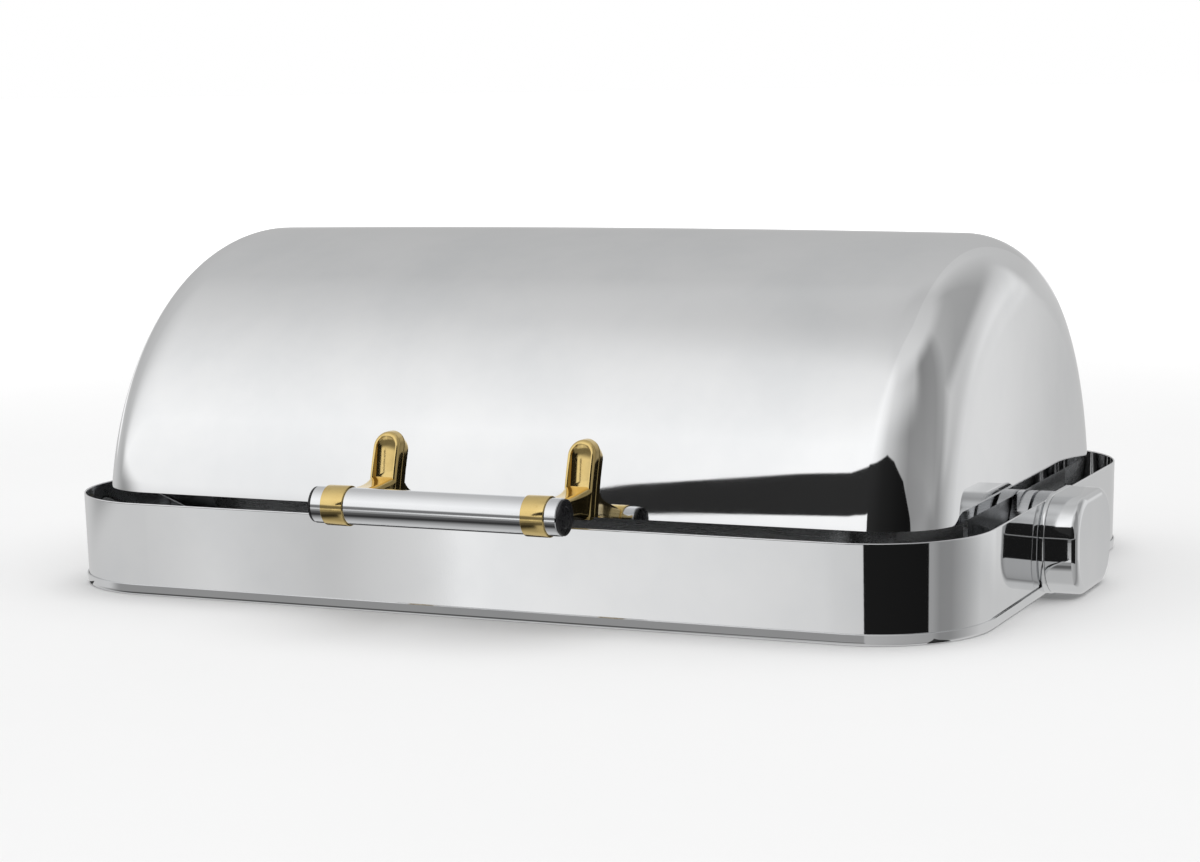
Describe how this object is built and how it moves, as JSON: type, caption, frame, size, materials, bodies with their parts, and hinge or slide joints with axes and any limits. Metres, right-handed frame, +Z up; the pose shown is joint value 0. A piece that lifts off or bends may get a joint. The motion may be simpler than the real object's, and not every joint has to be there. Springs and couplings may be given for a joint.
{
  "type": "roll-top chafing dish food warmer",
  "caption": "Drop-in roll-top food warmer: polished lid rolls back on side hinges over water pan and food pan in a low frame.",
  "frame": {"origin": "middle of the resting object's box, on the plane that the base rim stands on", "axes": "+X to the right-hand hinge, along the lid's hinge axis; front with the handle towards -Y; +Z up"},
  "size_m": [0.7116, 0.5006, 0.2397],
  "materials": {
    "polished_steel": "mirror-polished stainless steel",
    "satin_steel": "satin drawn stainless steel",
    "zinc_steel": "zinc-plated steel fasteners",
    "brass": "polished brass castings",
    "black_plastic": "black moulded plastic",
    "nylon": "natural nylon"
  },
  "bodies": {
    "frame": {"frame_band": "polished_steel", "base_rim": "polished_steel", "hinge_plate_right": "polished_steel", "hinge_plate_left": "polished_steel", "hinge_cover_right": "polished_steel", "hinge_cover_left": "polished_steel", "fixed_hub_right": "satin_steel", "fixed_hub_left": "satin_steel", "pan_carrier_right": "satin_steel", "pan_carrier_left": "satin_steel", "cover_screw_front_right": "zinc_steel", "cover_screw_front_left": "zinc_steel", "cover_screw_rear_right": "zinc_steel", "cover_screw_rear_left": "zinc_steel", "stop_pin_right": "zinc_steel", "stop_pin_left": "zinc_steel", "key_pin_right": "zinc_steel", "key_pin_left": "zinc_steel", "pivot_bolt_right": "zinc_steel", "pivot_bolt_left": "zinc_steel", "pivot_nut_right": "zinc_steel", "pivot_nut_left": "zinc_steel", "friction_washer_right": "nylon", "friction_washer_left": "nylon"},
    "lid": {"lid_shell": "polished_steel", "handle_tube": "polished_steel", "lid_hinge_arm_right": "satin_steel", "lid_hinge_arm_left": "satin_steel", "hinge_bush_right": "nylon", "hinge_bush_left": "nylon", "handle_bracket_right": "brass", "handle_bracket_left": "brass", "handle_end_cap_right": "black_plastic", "handle_end_cap_left": "black_plastic", "handle_screw_upper_right": "zinc_steel", "handle_screw_upper_left": "zinc_steel", "handle_screw_lower_right": "zinc_steel", "handle_screw_lower_left": "zinc_steel"},
    "water_pan": {"water_pan": "satin_steel"},
    "food_pan": {"food_pan": "satin_steel"}
  },
  "joints": [
    {"name": "lid_roll", "type": "hinge", "parent": "frame", "child": "lid", "pos_m": [0, 0.0248, 0.0354], "axis": [-1, 0, 0], "range_deg": [0, 150]},
    {"name": "water_pan_lift", "type": "slide", "parent": "frame", "child": "water_pan", "axis": [0, 0, 1], "range_m": [0, 0.012]},
    {"name": "food_pan_lift", "type": "slide", "parent": "water_pan", "child": "food_pan", "axis": [0, 0, 1], "range_m": [0, 0.045]}
  ]
}
